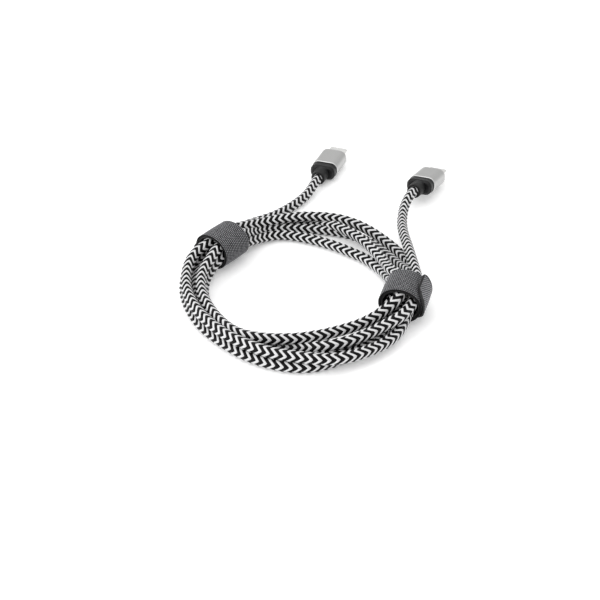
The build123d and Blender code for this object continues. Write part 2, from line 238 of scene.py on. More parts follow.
# %% The slots in the ties, and the laps in order
# A tie's angle is in degrees round the coil. Its strands and its strap have their middles that
# many millimetres from the coil's centre. Its tongue runs from hinge to tip, in degrees round
# the strap: 0 faces away from the coil's centre and 90 faces up.
TIES = {
    "left": {"angle": 143.2, "strands": 38.0, "strap": 38.3, "hinge": 2, "tip": -54},
    "right": {"angle": 342.5, "strands": 36.2, "strap": 35.7, "hinge": -24, "tip": 54},
}
TIE_HEIGHT = 6.9                    # of the ring's middle, in millimetres
SLOT_ACROSS, SLOT_UP = 3.75, 3.45   # half the ring of slots
MOUTH = 6.6                         # half a strap's width
LEFT_SLOTS = {"low_outer": 348, "top_outer": 60, "top_inner": 132, "low_inner": 204,
              "low_middle": 276}
RIGHT_SLOTS = {"low_outer": 242, "top_outer": 310, "top_inner": 104, "low_inner": 20,
               "low_middle": 174}
LAPS = [("low_outer", "outermost"), ("top_outer", "second"), ("top_inner", "crossing"),
        ("low_middle", "innermost"), ("low_inner", None)]


def through_tie(tie, slot):
    """Three knots through a tie, at its two mouths and its middle. The slot's angle is turned
    round an ellipse to give how far out and how high the strand runs."""
    across = TIES[tie]["strands"] + SLOT_ACROSS * math.cos(math.radians(slot))
    up = TIE_HEIGHT + SLOT_UP * math.sin(math.radians(slot))
    return [(TIES[tie]["angle"] + math.degrees(math.atan2(along, across)),
             math.hypot(across, along), up) for along in (-MOUTH, 0, MOUTH)]


knots = []
for front, rear in LAPS:
    knots += through_tie("left", LEFT_SLOTS[front]) + FRONT[front]
    knots += through_tie("right", RIGHT_SLOTS[front]) + (REAR[rear] if rear else [])
knots = np.array(knots)
turn = np.radians(knots[:, 0])
coil_route = COIL_CENTRE + MM * np.stack(
    [knots[:, 1] * np.cos(turn), knots[:, 1] * np.sin(turn), knots[:, 2]], 1)
print("coil points", len(coil_route), "in", len(LAPS), "laps")

# %% [markdown]
# The two loose ends run from the plugs to the coil in an easy bend. The two points nearest each
# plug are on the plug's own line, because a moulded neck holds the cord straight for a few
# diameters. These are the same points as in the solid model.

# %% The whole route, in metres
PLUG_A_LEAD = [(-0.00061, 0.05304, 0.00348), (-0.00267, 0.04741, 0.00348)]
LOOSE_A = [(-0.0057, 0.0396, 0.0021), (-0.0119, 0.0300, 0.0020), (-0.0193, 0.0220, 0.0020),
           (-0.0271, 0.0163, 0.0026), (-0.0321, 0.0096, 0.0044), (-0.0351, 0.0034, 0.0058)]
LOOSE_B = [(0.0317, -0.0158, 0.0076), (0.0312, -0.0066, 0.0068), (0.0306, 0.0034, 0.0057),
           (0.0309, 0.0134, 0.0047), (0.0325, 0.0234, 0.0056)]
PLUG_B_LEAD = [(0.03547, 0.03057, 0.00729), (0.03819, 0.03586, 0.00650)]
route = np.vstack([PLUG_A_LEAD, LOOSE_A, coil_route, LOOSE_B, PLUG_B_LEAD])

line = bpy.data.curves.new("cord_line", "CURVE")
line.dimensions = "3D"
line.resolution_u = 24
spline = line.splines.new("NURBS")
spline.points.add(len(route) - 1)
spline.points.foreach_set("co", np.c_[route, np.ones(len(route))].astype(np.float32).ravel())
spline.order_u = 3
spline.use_endpoint_u = True
line_holder = bpy.data.objects.new("cord_line", line)
bpy.context.scene.collection.objects.link(line_holder)
line_mesh = bpy.data.meshes.new_from_object(line_holder)
centre_line = np.array([v.co for v in line_mesh.vertices])
bpy.data.objects.remove(line_holder)
steps = np.linalg.norm(np.diff(centre_line, axis=0), axis=1)
DOUBLED = 0.0001 * MM  # points closer than this are one point
centre_line = centre_line[np.r_[True, steps > DOUBLED]]
along_line = np.r_[0, np.cumsum(np.linalg.norm(np.diff(centre_line, axis=0), axis=1))]
CORD_LENGTH = along_line[-1]
print("route points", len(route), "line points", len(centre_line), "length", CORD_LENGTH)

# %% [markdown]
# ## The braided sleeve
#
# The sleeve is plaited from bundles of black and white polyester yarn on a machine with sixteen
# bobbins. Each bundle lies on top for a short slanting float, then dives under its neighbours,
# and the floats of one colour meet at their ends in a zigzag that runs round the cord.
#
# Each band of colour could be painted on a plain tube, but its edge is a real groove and the
# cord's outline is scalloped by it. So the tube's own rings follow the zigzag: a ring isn't flat,
# it goes forward and back three times on its way round. Eight rings make one black and white
# repeat, with a groove on every fourth, and the floats sink a little where their ends meet.

# %% The sleeve's shape
CORD_RADIUS = 2.0 * MM
REPEAT = 2.75 * MM         # one black and one white band, along the cord
ZIGZAG_DEPTH = 2.0 * MM    # how far a band runs along the cord between its points
ZIGZAG_FADE = 4.0 * MM     # the length over which the zigzag grows, from each end of the cord
ZIGZAGS = 3                # round the cord
RINGS_PER_REPEAT, COLUMNS = 8, 24  # grid steps along a repeat, and round the cord
GROOVE, SHOULDER = 0.22 * MM, 0.05 * MM  # how deep, at a band's edge and halfway to its middle
FLOAT_END_DIP = 0.10 * MM
LINE_STEP = 0.4 * MM       # each way from a point, to find the line's direction there
# The sleeve is turned where it comes out of the right tie and in loose end B: metres along and
# degrees turned. All along it also wanders by a few degrees, in waves of 0.13 m.
TWIST = [(0, 0), (0.21, 0), (0.223, 55), (0.236, 45), (0.262, 0), (0.477, 0), (0.490, 60),
         (0.508, 50), (0.535, 0), (1.17, 0), (1.21, 60), (1.3, 60)]
WANDER_DEGREES, WANDER_LENGTH = 7, 0.13


def on_line(distance):
    """The point of the centre line at each distance from its start, and the directions to the
    left and up there. Left is square to the line and level; up is square to both."""
    def place(where):
        return np.stack([np.interp(where, along_line, centre_line[:, k]) for k in range(3)], -1)
    distance = np.clip(distance, 0, CORD_LENGTH)
    ahead, behind = (np.clip(distance + d, 0, CORD_LENGTH) for d in (LINE_STEP, -LINE_STEP))
    forward = place(ahead) - place(behind)
    forward /= np.linalg.norm(forward, axis=-1, keepdims=True)
    left = np.cross([0.0, 0.0, 1.0], forward)
    left /= np.linalg.norm(left, axis=-1, keepdims=True)
    return place(distance), left, np.cross(forward, left)


def sleeve(rings, columns):
    """The braid as a grid. A ring's place along the cord is its number over the rings in a
    repeat, plus a zigzag of the angle round it that fades out at the cord's two ends. The
    zigzag is half a triangle wave and half a smooth step, so its points are blunt. The radius
    is the cord's, less a groove between bands and a dip at the zigzag's points."""
    ring, column = np.meshgrid(np.arange(rings), np.arange(columns), indexing="ij")
    round_turns = column / columns
    zigzag = 2 * np.abs((round_turns * ZIGZAGS) % 1 - 0.5)  # 1 at whole zigzags, 0 between
    zigzag = 0.5 * zigzag + 0.5 * zigzag ** 2 * (3 - 2 * zigzag)
    base = ring / (rings - 1) * CORD_LENGTH
    fade = np.clip(np.minimum(base, CORD_LENGTH - base) / ZIGZAG_FADE, 0, 1)
    distance = base + fade * ZIGZAG_DEPTH * (0.5 - zigzag)
    twist = np.interp(distance, [k[0] for k in TWIST], [k[1] for k in TWIST])
    twist = twist + WANDER_DEGREES * np.sin(2 * np.pi * distance / WANDER_LENGTH)
    angle = 2 * np.pi * round_turns + np.radians(90 + twist)  # the first column is on top
    in_band = ring % (RINGS_PER_REPEAT // 2)
    depth = np.choose(in_band, [0, SHOULDER, GROOVE, SHOULDER])
    float_end = (column % (columns // ZIGZAGS // 2) == 0) & (depth < GROOVE)
    radius = (CORD_RADIUS - depth - FLOAT_END_DIP * float_end)[..., None]
    at, left, up = on_line(distance)
    return at + radius * (np.cos(angle)[..., None] * left + np.sin(angle)[..., None] * up)


repeats = round(CORD_LENGTH / REPEAT)
rings = repeats * RINGS_PER_REPEAT + 1
sleeve_points = sleeve(rings, COLUMNS)
u, v = np.meshgrid(np.arange(rings) / RINGS_PER_REPEAT,
                   np.arange(COLUMNS + 1) / COLUMNS * ZIGZAGS, indexing="ij")
sleeve_uv = np.stack([u, v], -1)
print("braid repeats", repeats, "rings", rings)

# %% [markdown]
# ### The yarn
#
# The yarn is polyester, many fine filaments to a bundle. It is slightly glossy along them. The
# white is painted a little grey between them, as shade in the grooves between bundles, and
# darker where floats end, as shade where they dive under. A printed cloth could be wrapped round
# the cord, but here the shader works the pattern out from the sleeve's own map, so that its
# colours keep to the grooves. The map's first number counts repeats and the second counts
# zigzags, so a line of one first number runs along a float, as its filaments do.

# %% The yarn's finish
BLACK_YARN, WHITE_YARN = "#060506", "#dededf"
FILAMENTS_PER_REPEAT = 10  # a repeat is 2 mm wide square to its floats, so these are 0.2 mm apart
BLACK_HALF = 0.295         # of a repeat: half of a black band, which is wider than a white one
EDGE_SOFTNESS = 0.01       # of a repeat, each way from an edge
EDGE_FUZZ = 0.08           # of a repeat: stray filaments move an edge to and fro within this
FUZZ_PATCH, FUZZ_HEIGHT = 0.385 * MM, 0.6  # size, and height beside a filament's
# Painted shade: the white is darkened where floats end and in the grooves between bundles.
END_REACH, END_SHADE = 0.03, 0.72  # of the shadow where floats end: how far it reaches, how light
LINE_SHADE = 0.78           # between two bundles of filaments


def braid_pattern(tree):
    """Black near whole numbers of repeats and white elsewhere, with painted shade in fine lines
    along the yarn and a painted shadow where floats end."""
    uv = put(tree, "UVMap", uv_map="pattern").outputs[0]
    split = put(tree, "SeparateXYZ", {0: uv})
    place = put(tree, "TexCoord").outputs["Object"]
    fuzz = put(tree, "TexNoise", {"Vector": place, "Scale": 1 / FUZZ_PATCH,
                                  "Detail": 3.0}).outputs[0]
    fuzz_shift = put(tree, "Math", {0: fuzz, 1: EDGE_FUZZ, 2: -EDGE_FUZZ / 2},
                     operation="MULTIPLY_ADD").outputs[0]
    shifted = put(tree, "Math", {0: split.outputs[0], 1: fuzz_shift}, operation="ADD").outputs[0]
    band = put(tree, "Math", {0: shifted, 1: 0.5}, operation="PINGPONG").outputs[0]
    white = put(tree, "MapRange", {0: band, 1: BLACK_HALF - EDGE_SOFTNESS,
                                   2: BLACK_HALF + EDGE_SOFTNESS},
                interpolation_type="SMOOTHSTEP").outputs[0]
    turns = put(tree, "Math", {0: shifted, 1: FILAMENTS_PER_REPEAT * 2 * math.pi},
                operation="MULTIPLY").outputs[0]
    lines = put(tree, "Math", {0: turns}, operation="SINE").outputs[0]
    from_end = put(tree, "Math", {0: split.outputs[1], 1: 0.25}, operation="PINGPONG").outputs[0]
    end_shade = put(tree, "MapRange", {0: from_end, 1: 0.0, 2: END_REACH, 3: END_SHADE, 4: 1.0},
                   interpolation_type="SMOOTHSTEP").outputs[0]
    line_shade = put(tree, "MapRange", {0: lines, 1: -1.0, 2: 1.0, 3: LINE_SHADE,
                                       4: 1.0}).outputs[0]
    tone = put(tree, "Math", {0: end_shade, 1: line_shade}, operation="MULTIPLY").outputs[0]
    colour = put(tree, "Mix", {0: white, 6: linear(BLACK_YARN), 7: linear(WHITE_YARN)},
                 data_type="RGBA").outputs[2]
    tone_colour = put(tree, "CombineColor", {0: tone, 1: tone, 2: tone}).outputs[0]
    toned = put(tree, "Mix", {0: 1.0, 6: colour, 7: tone_colour},
                data_type="RGBA", blend_type="MULTIPLY").outputs[2]
    height = put(tree, "Math", {0: fuzz, 1: FUZZ_HEIGHT, 2: lines},
                 operation="MULTIPLY_ADD").outputs[0]
    bump = put(tree, "Bump", {"Strength": 0.35, "Distance": 0.03 * MM, "Height": height})
    rough = put(tree, "MapRange", {0: white, 3: 0.42, 4: 0.6}).outputs[0]
    return {"Base Color": toned, "Roughness": rough, "Normal": bump.outputs[0]}


yarn = new_finish("braided_polyester_yarn", braid_pattern, Specular_IOR_Level=0.12)
print("finish", yarn.name)

# %% [markdown]
# ### One long piece
#
# The cord is a single mesh from one plug's neck to the other's, because a real cord has no
# joins. It takes the place of the three plain pieces that stand for it in the solid model.

cord = surface("braided_cord", sleeve_points, uv=sleeve_uv, caps=True, finishes=[yarn])
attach(cord, "cable")
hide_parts("cord_coil", "loose_end_a", "loose_end_b")

# %% [markdown]
# ## The two ties
#
# A hook-and-loop tie is one strip: a knitted loop fabric outside, a tape of tiny nylon hooks
# inside, and a free tongue that laps over the outside and grips it. From the ends it shows a
# black cut edge about a millimetre thick, and its outside has rows of small knitted loops.
#
# The strap could be a flat strip bent with a curve modifier. It is made here as closed bands
# instead: one rounded section carried round an ellipse, so that the knit can be real relief and
# always meets itself at the end.

# %% The strap's ellipse
STRAP_WIDTH, HALF_ACROSS, HALF_HEIGHT = 13.2 * MM, 7.7 * MM, 6.9 * MM
LOOP_LAYER, HOOK_LAYER = 0.8 * MM, 0.6 * MM  # thickness
SAG_TWICE, SAG_THRICE = 0.10 * MM, 0.07 * MM  # waves in the ellipse, two and three times round
EDGE_CLOSING = 0.12 * MM
LOWEST = 0.03 * MM


def on_strap(tie, angle, grow, along):
    """A point of a strap: an ellipse grown by grow at that angle in degrees, that far along the
    bundle. The ellipse sags a little out of true, by two slow waves round it, and closes a
    little towards its edges, as cloth does. It is turned to its place on the coil and never
    goes below zero."""
    a, place = np.radians(angle), TIES[tie]
    ease = SAG_TWICE * np.sin(2 * a + place["angle"]) + SAG_THRICE * np.sin(3 * a)
    ease = ease - EDGE_CLOSING * (2 * along / STRAP_WIDTH) ** 2
    across = place["strap"] * MM + (HALF_ACROSS + grow + ease) * np.cos(a)
    up = HALF_HEIGHT + (HALF_HEIGHT + grow + ease) * np.sin(a)
    turn = math.radians(place["angle"])
    x = COIL_CENTRE[0] + across * math.cos(turn) - along * math.sin(turn)
    y = COIL_CENTRE[1] + across * math.sin(turn) + along * math.cos(turn)
    return np.stack(np.broadcast_arrays(x, y, np.maximum(up, LOWEST)), -1)


print("strap round", round(2 * math.pi * (HALF_ACROSS + HALF_HEIGHT) / 2 / MM, 1), "mm")

# %% The strap's section
EDGE_ROUNDING = 0.3 * MM
CORNER_COLUMNS = 6  # down one edge, from the top to the underside: three to each rounded corner


def strap_section(half_width, top, bottom, across_count, under_count):
    """The outline of a strip's cut end, as how far along the bundle and how far out: over the
    top from one edge to the other, round the corner, and back underneath. Corners are quarter
    circles."""
    corner = np.radians([18, 45, 72])
    flat = half_width - EDGE_ROUNDING
    over = np.linspace(-flat, flat, across_count)
    under = np.linspace(flat, -flat, under_count)
    out, drop = EDGE_ROUNDING * np.sin(corner), EDGE_ROUNDING * (1 - np.cos(corner))
    along = np.concatenate([over, flat + out, flat + out[::-1], under,
                            -flat - out, -flat - out[::-1]])
    grow = np.concatenate([np.full(across_count, top), top - drop, bottom + drop[::-1],
                           np.full(under_count, bottom), bottom + drop, top - drop[::-1]])
    return along, grow


print("section columns down each edge", CORNER_COLUMNS)

# %% [markdown]
# ### The knit
#
# The outside is a warp knit: columns of small loops side by side along the strap, raised enough
# for hooks to catch. Modelling every yarn would cost a million faces that nobody sees. A bump
# alone would leave the outline flat, so the loops are two waves multiplied into real relief, and
# the shader repeats the same waves as painted shade between them and a lighter tone on their
# tops.
#
# Seventeen columns cross the strap, 0.78 mm apart, and each loop is 0.75 mm long.

# %% The knit's relief
COLUMNS_ACROSS = 17
WALE, COURSE = STRAP_WIDTH / COLUMNS_ACROSS, 0.75 * MM  # across a column, along a loop
LOOP_RELIEF = 0.2 * MM
LOW_LOOP = 0.4      # how high a column stands between two of its loops
GRID_PER_LOOP = 6   # grid steps to a loop, both ways


def knit(round_distance, along):
    """How high the knit stands, from 0 in its gaps to 1 on its loops. Across a column it is the
    square of a sine; along it each loop is a raised cosine, and every other column is set half
    a loop back."""
    column = (along + STRAP_WIDTH / 2) / WALE
    offset = 0.5 * (np.floor(column) % 2)
    loop = 0.5 + 0.5 * np.cos(2 * np.pi * (round_distance / COURSE + offset))
    return np.sin(np.pi * column) ** 2 * (LOW_LOOP + (1 - LOW_LOOP) * loop)


def knit_uv(round_distance, along):
    """The map of a knitted piece, in loops and columns, with its first column once more at the
    end."""
    closed = np.concatenate([along, along[..., :1]], -1)
    return np.stack(np.broadcast_arrays(round_distance / COURSE,
                                        (closed + STRAP_WIDTH / 2) / WALE), -1)


print("a loop is", round(COURSE / MM, 2), "by", round(WALE / MM, 2), "mm")

# %% [markdown]
# ### Finishes for the ties
#
# The outside is nylon loop fabric, knitted and brushed: dark grey yarn, with a soft lighter
# bloom where its fibres stand up and catch light from the side. The shader's sheen is made for
# that bloom. A plain grey with a noise in it would be quicker, but a pattern worked out from the
# piece's own map keeps to the modelled loops.
#
# The inside is moulded black nylon hooks on a black backing. A hook is about 0.3 mm across, too
# fine to show from a table away, so the bump is drawn at 0.5 mm and only its glints are seen.

# %% The loop fabric's finish
# Painted shade: the gaps between loops are painted near black and the loops' tops lighter, by the
# relief's waves.
GAP_SHADE_GREY, LOOP_GREY, BLOOM_GREY = "#0c0c0d", "#98989b", "#d8d8dc"
SHADE_LEVEL = 0.45    # everything lower than this is as dark as a gap
LOW_LOOP_SHADE = 0.3  # between two loops of a column
UNEVEN_PATCH, UNEVEN = 1.11 * MM, 0.5  # size, and how much it lightens or darkens a loop
FIBRE_PATCH, FIBRE = 0.192 * MM, 0.35  # size, and height beside a loop's


def knit_pattern(tree):
    """Painted shade: dark between the loops and lighter on their tops, by the same waves as the
    relief, with a little difference from loop to loop and fine fibres in the bump."""
    uv = put(tree, "UVMap", uv_map="pattern").outputs[0]
    split = put(tree, "SeparateXYZ", {0: uv})
    round_count, column = split.outputs[0], split.outputs[1]
    across = put(tree, "Math", {0: column, 1: math.pi}, operation="MULTIPLY").outputs[0]
    sine = put(tree, "Math", {0: across}, operation="SINE").outputs[0]
    ridge = put(tree, "Math", {0: sine, 1: sine}, operation="MULTIPLY").outputs[0]
    whole = put(tree, "Math", {0: column}, operation="FLOOR").outputs[0]
    odd = put(tree, "Math", {0: whole, 1: 2.0}, operation="FLOORED_MODULO").outputs[0]
    staggered = put(tree, "Math", {0: odd, 1: 0.5, 2: round_count},
                    operation="MULTIPLY_ADD").outputs[0]
    angle = put(tree, "Math", {0: staggered, 1: 2 * math.pi}, operation="MULTIPLY").outputs[0]
    wave = put(tree, "Math", {0: angle}, operation="COSINE").outputs[0]
    loop = put(tree, "MapRange", {0: wave, 1: -1.0, 2: 1.0, 3: LOW_LOOP_SHADE,
                                  4: 1.0}).outputs[0]
    height = put(tree, "Math", {0: ridge, 1: loop}, operation="MULTIPLY").outputs[0]
    place = put(tree, "TexCoord").outputs["Object"]
    patches = put(tree, "TexNoise", {"Vector": place, "Scale": 1 / UNEVEN_PATCH,
                                     "Detail": 4.0}).outputs[0]
    fibre = put(tree, "TexNoise", {"Vector": place, "Scale": 1 / FIBRE_PATCH,
                                   "Detail": 2.0}).outputs[0]
    lit = put(tree, "Math", {0: patches, 1: UNEVEN, 2: height},
              operation="MULTIPLY_ADD").outputs[0]
    ramp = put(tree, "ValToRGB", {0: lit})
    ramp.color_ramp.elements[0].position = SHADE_LEVEL
    ramp.color_ramp.elements[0].color = linear(GAP_SHADE_GREY)
    ramp.color_ramp.elements[1].position = 1.0
    ramp.color_ramp.elements[1].color = linear(LOOP_GREY)
    surface_height = put(tree, "Math", {0: fibre, 1: FIBRE, 2: height},
                         operation="MULTIPLY_ADD").outputs[0]
    bump = put(tree, "Bump", {"Strength": 0.5, "Distance": 0.06 * MM,
                              "Height": surface_height})
    return {"Base Color": ramp.outputs[0], "Normal": bump.outputs[0]}


loop_fabric = new_finish("knitted_nylon_loop_fabric", knit_pattern, Roughness=0.85,
                         Sheen_Weight=0.5, Sheen_Roughness=0.25,
                         Sheen_Tint=linear(BLOOM_GREY), Specular_IOR_Level=0.2)
print("finish", loop_fabric.name)

# %% The hook tape's finish
# Painted highlight: the hooks' heads are painted lighter than the backing, as a glint.
HOOK_HEAD_GLINT, HOOK_BACKING = "#1c1c1d", "#060607"
HOOK_PATCH = 0.5 * MM


def hook_pattern(tree):
    """Near black, with round bumps from a cell pattern for the hooks' heads, and the heads
    painted a little lighter as a painted glint.
    """
    place = put(tree, "TexCoord").outputs["Object"]
    heads = put(tree, "TexVoronoi", {"Vector": place,
                                     "Scale": 1 / HOOK_PATCH}).outputs["Distance"]
    ramp = put(tree, "ValToRGB", {0: heads})
    ramp.color_ramp.elements[0].color = linear(HOOK_HEAD_GLINT)
    ramp.color_ramp.elements[1].position = 0.6
    ramp.color_ramp.elements[1].color = linear(HOOK_BACKING)
    bump = put(tree, "Bump", {"Strength": 0.6, "Distance": 0.15 * MM, "Height": heads},
               invert=True)
    return {"Base Color": ramp.outputs[0], "Normal": bump.outputs[0]}


hook_nylon = new_finish("moulded_nylon_hook_tape", hook_pattern, Roughness=0.5,
                        Specular_IOR_Level=0.4)
print("finish", hook_nylon.name)

# %% [markdown]
# ### The bands
#
# On the real tie one strip goes round and laps over itself. The lap is under the tongue and
# isn't seen, so each layer here is a closed band: the fabric outside, and the hook tape inside
# it, set in a little from the fabric's edges. Closed bands have no ends to tuck away, and the
# knit meets itself because a whole number of loops goes round.

# %% The loop band
PLAIN_COLUMNS = 8  # across the side of a strip that carries no pattern


def loop_band(tie):
    """The fabric layer of a strap: its section carried once round the ellipse, with the knit
    raised on its outside. Its inside has the hook tape's finish."""
    loops_round = 2 * round(math.pi * (HALF_ACROSS + HALF_HEIGHT) / COURSE / 2)
    rows, top = GRID_PER_LOOP * loops_round, GRID_PER_LOOP * COLUMNS_ACROSS + 1
    along, grow = strap_section(STRAP_WIDTH / 2, 0.0, -LOOP_LAYER, top, PLAIN_COLUMNS)
    column = np.arange(len(along))
    angle = np.arange(rows)[:, None] / rows * 360
    round_distance = np.arange(rows + 1)[:, None] / rows * loops_round * COURSE
    height = (knit(round_distance[:-1], along) - 1) * LOOP_RELIEF * (column < top)
    corner = CORNER_COLUMNS // 2
    inner = (column >= top + corner) & (column < len(along) - corner - 1)
    return surface(f"{tie}_tie_loop_band", on_strap(tie, angle, grow + height, along),
                   uv=knit_uv(round_distance, along), wrap_rows=True,
                   finishes=[loop_fabric, hook_nylon], inner=inner)


print("loops on a band", COLUMNS_ACROSS, "across")

# %% The hook band
HOOK_INSET = 0.3 * MM   # from each edge of the fabric
HOOK_COLUMNS = 61       # across the studded side
HOOK_WAVES, HOOK_PITCH, HOOK_HEIGHT = 40, 1.0 * MM, 0.14 * MM  # waves round, pitch across


def hook_band(tie):
    """The hook layer inside a strap: a plain section carried round, its inner face studded by a
    product of two waves, one round the strap and one across it."""
    rows = 6 * HOOK_WAVES
    along, grow = strap_section(STRAP_WIDTH / 2 - HOOK_INSET, -LOOP_LAYER,
                                -LOOP_LAYER - HOOK_LAYER, PLAIN_COLUMNS, HOOK_COLUMNS)
    column, first = np.arange(len(along)), PLAIN_COLUMNS + CORNER_COLUMNS
    inside = (column >= first) & (column < first + HOOK_COLUMNS)
    angle = np.arange(rows)[:, None] / rows * 360
    studs = HOOK_HEIGHT * inside * np.clip(np.cos(np.radians(angle) * HOOK_WAVES)
                                           * np.cos(2 * np.pi * along / HOOK_PITCH), 0, 1)
    return surface(f"{tie}_tie_hook_band", on_strap(tie, angle, grow - studs, along),
                   wrap_rows=True, finishes=[hook_nylon])


print("studs round a band", HOOK_WAVES)

# %% [markdown]
# ### The tongue
#
# The strip's free end laps over the outside and is what fingers pull. It could be cut from a
# flat sheet and bent, but carrying the strap's own section along the same ellipse keeps it a
# steady hair above the band all the way. Its end is rounded, more on the side that faces the
# front of the coil. Round the end a narrow border of its top has the black hook tape's finish:
# partly the tape's real edge showing past the fabric, partly painted shade along the edge.

# %% The tongue
TAIL_GAP, TAIL_THICKNESS = 0.25 * MM, 0.9 * MM
TIP_LIFT, CURL_LENGTH = 0.45 * MM, 9 * MM
# The black border round the end is partly the tape's real edge and partly painted shade.
TIP_BORDER_SHADE = 0.8 * MM            # of hook tape
CORNERS = (6.2 * MM, 2.0 * MM)   # radii, on the coil's front side and on the other
ROOT_DEGREES, ROOT_CLIMB = 10, 2.6 * MM  # how far behind the hinge it starts, and its ramp
END_ROWS, TONGUE_UNDER = 24, 16  # rows round its end, columns across its underside
RIM_STEPS = 400                  # to measure how long it is


def tongue_way(tie):
    """1 where the tongue runs from its hinge towards greater angles, and -1 the other way."""
    return 1 if TIES[tie]["tip"] > TIES[tie]["hinge"] else -1


def tongue(tie):
    """The free end of a strap, from inside the band just behind its hinge line to its rounded
    end. Each corner is a quarter circle, its root climbs out of the band by a smooth step, and
    its last 9 mm curl away by a square. Round the end a border of its top has the hook tape's
    finish: partly the tape's real edge, partly painted shade along the edge."""
    way = tongue_way(tie)
    fine = np.linspace(TIES[tie]["hinge"] - way * ROOT_DEGREES, TIES[tie]["tip"],
                       RIM_STEPS)
    rim = on_strap(tie, fine, TAIL_GAP + TAIL_THICKNESS, 0.0)
    reach = np.r_[0, np.cumsum(np.linalg.norm(np.diff(rim, axis=0), axis=1))]
    length, end = reach[-1], max(CORNERS)
    plain = np.arange(0, length - end, COURSE / GRID_PER_LOOP)
    bend = np.radians(np.linspace(90, 0, END_ROWS))
    stations = np.r_[plain, length - end * (1 - np.cos(bend))][:, None]
    half = []
    for corner in CORNERS if way > 0 else CORNERS[::-1]:
        into = np.clip(corner - (length - stations), 0, corner)
        half.append(STRAP_WIDTH / 2 - corner + np.sqrt(corner ** 2 - into ** 2))
    top = GRID_PER_LOOP * COLUMNS_ACROSS + 1
    along, grow = strap_section(STRAP_WIDTH / 2, TAIL_GAP + TAIL_THICKNESS, TAIL_GAP,
                                top, TONGUE_UNDER)
    column = np.arange(len(grow))
    side = np.where(along < 0, *half)
    along = along * side / (STRAP_WIDTH / 2)
    step = np.clip(stations / ROOT_CLIMB, 0, 1)
    lift = (step * step * (3 - 2 * step) - 1) * (TAIL_GAP + TAIL_THICKNESS)
    lift = lift + TIP_LIFT * np.clip(1 - (length - stations) / CURL_LENGTH, 0, 1) ** 2
    height = (knit(stations, along) - 1) * LOOP_RELIEF * (column < top)
    points = on_strap(tie, np.interp(stations, reach, fine), grow + lift + height, along)
    uv = knit_uv(stations, along)
    under_side = (column >= top + 1) & (column < len(grow) - 2)
    to_edge = np.minimum(length - stations, side - np.abs(along))
    border_shade = (to_edge < TIP_BORDER_SHADE) & (stations > length - end)
    inner = (under_side | border_shade)[:-1]
    if way > 0:  # the grid is turned over, so that its faces point outwards
        points, uv, inner = points[:, ::-1], uv[:, ::-1], np.roll(inner[:, ::-1], -1, axis=1)
    return surface(f"{tie}_tie_tongue", points, uv=uv, caps=True,
                   finishes=[loop_fabric, hook_nylon], inner=inner)


print("tongues run", {tie: TIES[tie]["tip"] - TIES[tie]["hinge"] for tie in TIES}, "degrees")

# %% [markdown]
# ### The weld
#
# Strip and tongue are joined by a hot bar with a ribbed face, which leaves a pressed line of
# pits. A bump on the band would do for a far view, but the pits catch the light from the side,
# so the line is a thin bar of its own that stands in the band's surface.

# %% The weld
WELD_DEGREES, WELD_INSET, WELD_HEIGHT = (8, 20), 1 * MM, 0.2 * MM  # degrees are behind the hinge
WELD_ROWS, WELD_TOP, WELD_UNDER = 25, 89, 4
PIT_DEPTH, PIT_PITCH, PIT_WAVES = 0.12 * MM, 0.9 * MM, 2


def weld(tie):
    """The pressed line where the tongue's root joins the band: a low bar whose rise is the
    square root of half a sine wave, with three staggered rows of pits, each pit the positive
    part of a product of cosines."""
    way = tongue_way(tie)
    angle = TIES[tie]["hinge"] - way * np.linspace(*WELD_DEGREES, WELD_ROWS)[:, None]
    along, grow = strap_section(STRAP_WIDTH / 2 - WELD_INSET, WELD_HEIGHT, -WELD_HEIGHT,
                                WELD_TOP, WELD_UNDER)
    rise = np.sin(np.linspace(0, np.pi, WELD_ROWS))[:, None] ** 0.5
    rows = np.cos(np.linspace(0, PIT_WAVES * 2 * np.pi, WELD_ROWS))[:, None]
    pits = PIT_DEPTH * np.clip(np.cos(2 * np.pi * along / PIT_PITCH) * rows, 0, 1)
    height = np.where(np.arange(len(along)) < WELD_TOP, (grow - pits) * rise, grow)
    points = on_strap(tie, angle, height, along)
    return surface(f"{tie}_tie_weld", points if way < 0 else points[::-1], caps=True,
                   finishes=[hook_nylon])


print("weld pits across", int((STRAP_WIDTH - 2 * WELD_INSET) / PIT_PITCH))

# %% [markdown]
# ### Putting the ties together
#
# A band, its hooks and its weld stay with the cable. A tongue is left where it is made, its
# place baked into its points; the strap's points 3 degrees behind the hinge and 12 degrees past
# it are worked out, but nothing uses them.

BLEND_DEGREES = (-3, 12)
for tie in TIES:
    band, hooks, bar = loop_band(tie), hook_band(tie), weld(tie)
    for piece, node, slot in ((band, "loop_layer", "loop_fabric"), (bar, "seam", "hook_tape"),
                              (hooks, "hook_layer", "hook_tape")):
        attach(piece, "cable")
        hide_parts(f"{tie}_tie_{node}")
    end = tongue(tie)
    middle = [on_strap(tie, TIES[tie]["hinge"] + tongue_way(tie) * past, TAIL_GAP, 0.0)
              for past in BLEND_DEGREES]
    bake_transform(end)
    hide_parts(f"{tie}_tie_tail")
print("tie pieces", 4 * len(TIES))

# %% [markdown]
# ## The plugs
#
# The plugs come from the solid model, down to the contacts in their tips, and only their
# finishes are made here. The case is a slice of aluminium tube, blasted with fine beads and
# anodised in its own silver colour, with a bevel at the back that is cut after the blasting: it
# is brighter than the satin round it. The two can share one mesh, because the shader can tell
# how far a point is from the case's back.

# %% Where each plug lies
# The middle of a case's back, in millimetres from the coil's centre. The plug is turned
# clockwise from above, its nose tips down and it leans to one side, in degrees.
PLUGS = {
    "plug_a": {"at": (8.8, 89.9, 3.48), "turn": 20.1, "nose_down": 0.0, "lean": 0.0},
    "plug_b": {"at": (48.4, 72.3, 5.55), "turn": 27.2, "nose_down": 7.5, "lean": 3.5},
}


